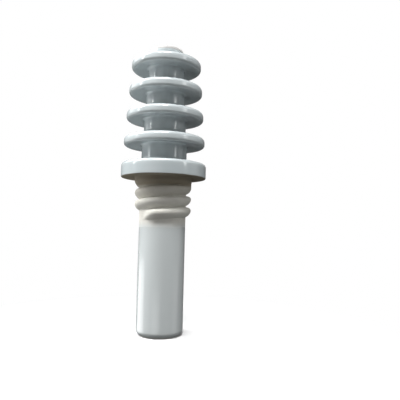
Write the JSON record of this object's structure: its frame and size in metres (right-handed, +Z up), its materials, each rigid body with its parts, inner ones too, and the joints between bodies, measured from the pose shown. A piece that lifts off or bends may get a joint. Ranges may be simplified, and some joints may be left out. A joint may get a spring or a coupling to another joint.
{
  "type": "porcelain bushing insulator",
  "caption": "Glazed porcelain bushing insulator with stacked sheds, a seating collar, a ribbed neck and a plain stem, its conductor held inside the bore.",
  "frame": {"origin": "centre of the stem's foot face, on the axis of the bore", "axes": "+Z up the axis from the stem to the sheds; the rib's lower tip is in the -X -Y quarter"},
  "size_m": [0.1, 0.1, 0.337],
  "materials": {
    "porcelain": "pale blue-grey glaze over white porcelain; the neck, boss top, foot ring and bore are bare",
    "tinned_brass": "dull tin plate over brass",
    "copper": "drawn copper, lightly oxidised",
    "phenolic": "laminated phenolic paper, matt brown",
    "nitrile": "black oil-resistant rubber",
    "spring_steel": "hardened and oiled steel"
  },
  "bodies": {
    "root": {"porcelain_body": "porcelain", "terminal_head": "tinned_brass", "head_gasket": "nitrile", "conductor_rod": "copper", "upper_centring_ring": "phenolic", "liner_tube": "phenolic", "lower_centring_ring": "phenolic", "foot_gasket": "nitrile", "foot_washer": "tinned_brass", "disc_springs": "spring_steel", "thrust_washer": "tinned_brass", "clamp_nut": "tinned_brass", "lock_nut": "tinned_brass"}
  },
  "joints": []
}
